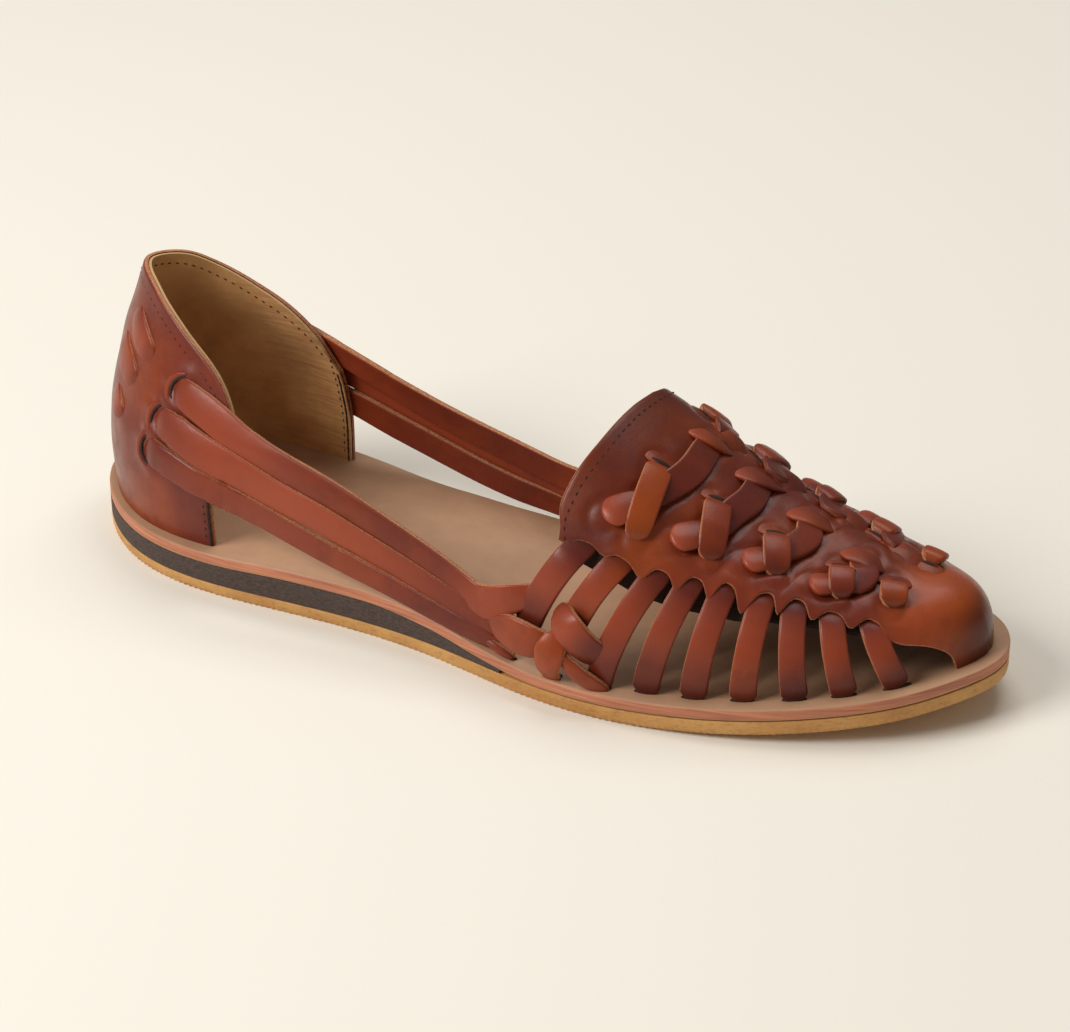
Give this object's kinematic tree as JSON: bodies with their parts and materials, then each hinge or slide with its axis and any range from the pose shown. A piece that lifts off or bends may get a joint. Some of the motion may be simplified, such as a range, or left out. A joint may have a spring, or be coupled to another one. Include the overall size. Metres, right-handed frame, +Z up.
{
  "type": "woven flat shoe",
  "caption": "Right woman's flat in woven leather with a closed toe, long open side straps, a high heel counter and a low layered sole.",
  "frame": {"origin": "on the floor, under the centre of the shoe's bounding box", "axes": "+X towards the toe, +Y towards the inner (big toe) side, +Z up from the floor"},
  "size_m": [0.254, 0.083, 0.0748],
  "materials": {
    "crepe_rubber": "matt, fine grained",
    "dark_midsole": "matt",
    "sole_leather": "smooth natural leather, bare edge",
    "brown_leather": "burnished, half gloss"
  },
  "bodies": {
    "root": {"outsole": "crepe_rubber", "midsole_wedge": "dark_midsole", "footbed": "sole_leather", "upper": "brown_leather"}
  },
  "joints": []
}
